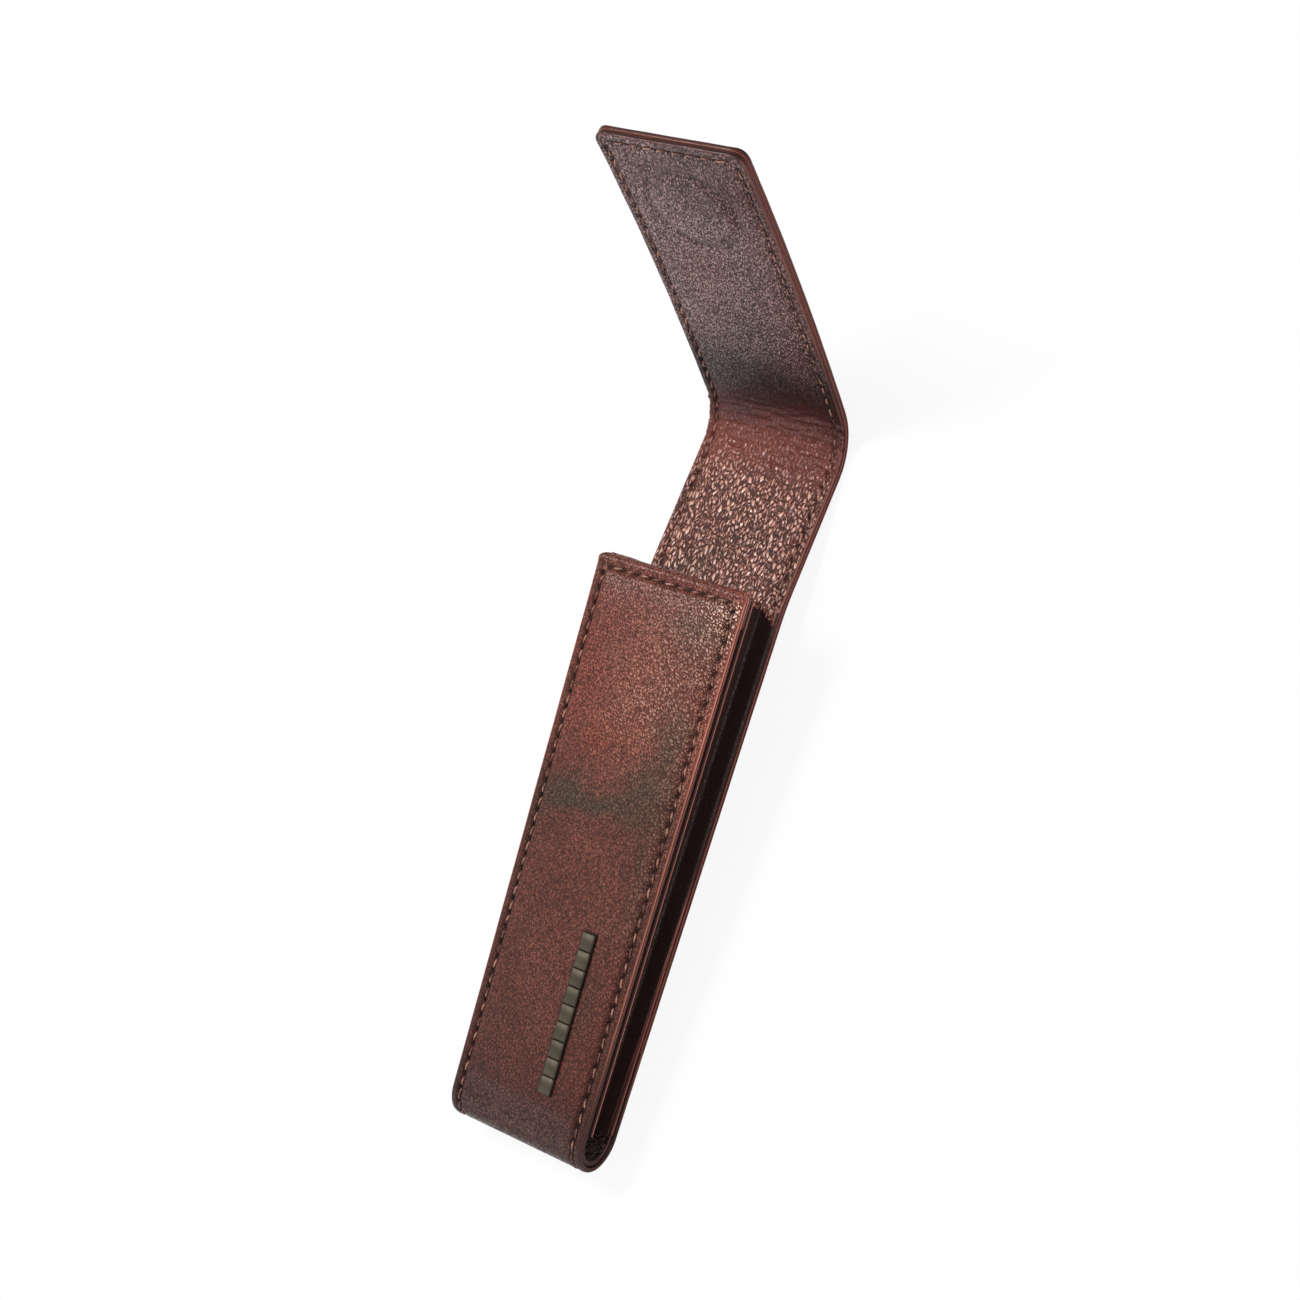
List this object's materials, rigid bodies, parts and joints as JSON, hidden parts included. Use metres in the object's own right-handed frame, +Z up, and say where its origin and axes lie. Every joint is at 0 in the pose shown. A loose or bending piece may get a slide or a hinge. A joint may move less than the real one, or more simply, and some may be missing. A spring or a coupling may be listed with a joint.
{
  "type": "single pen sleeve",
  "caption": "Slim lined leather pen sleeve with recessed side gussets, a plain metal bar on the front and a magnetic flap that folds over the mouth.",
  "frame": {"origin": "under the middle of the sleeve's box, on the surface that it lies on", "axes": "+X across the sleeve to the right as its front is seen, +Y along it from the base fold to the flap, +Z up, out of the front panel"},
  "size_m": [0.039, 0.2068, 0.0809],
  "materials": {
    "outer_leather": "satin",
    "lining_leather": "matte",
    "gusset_leather": "satin",
    "thread": "satin",
    "padding": "matte",
    "gunmetal": "satin",
    "steel": "satin"
  },
  "bodies": {
    "pocket": {"front_leather": "outer_leather", "front_padding": "padding", "front_lining": "lining_leather", "front_magnet": "steel", "front_thread": "thread", "base_leather": "outer_leather", "base_lining": "lining_leather", "base_thread": "thread", "back_leather": "outer_leather", "back_lining": "lining_leather", "back_thread": "thread", "left_gusset": "gusset_leather", "right_gusset": "gusset_leather", "left_gusset_hem": "outer_leather", "right_gusset_hem": "outer_leather", "front_bar": "gunmetal", "bar_washers": "steel"},
    "extension": {"extension_leather": "outer_leather", "extension_lining": "lining_leather", "extension_thread": "thread"},
    "hinge": {"hinge_leather": "outer_leather", "hinge_lining": "lining_leather", "hinge_thread": "thread"},
    "flap": {"flap_leather": "outer_leather", "flap_lining": "lining_leather", "flap_magnet": "steel", "flap_thread": "thread"}
  },
  "joints": [
    {"name": "mouth_fold", "type": "hinge", "parent": "pocket", "child": "extension", "pos_m": [0, 0.02673, 0.00566], "axis": [1, 0, 0], "range_deg": [-14.74, 29.88]},
    {"name": "back_fold", "type": "hinge", "parent": "extension", "child": "hinge", "pos_m": [0, 0.05795, 0.00141], "axis": [1, 0, 0], "range_deg": [-22.05, 44.65]},
    {"name": "flap_fold", "type": "hinge", "parent": "hinge", "child": "flap", "pos_m": [0, 0.07021, 0.00786], "axis": [1, 0, 0], "range_deg": [-22.05, 44.65]}
  ],
  "couplings": [
    {"joint": "back_fold", "follows": "mouth_fold", "ratio": 1.4925},
    {"joint": "flap_fold", "follows": "mouth_fold", "ratio": 1.4925}
  ]
}
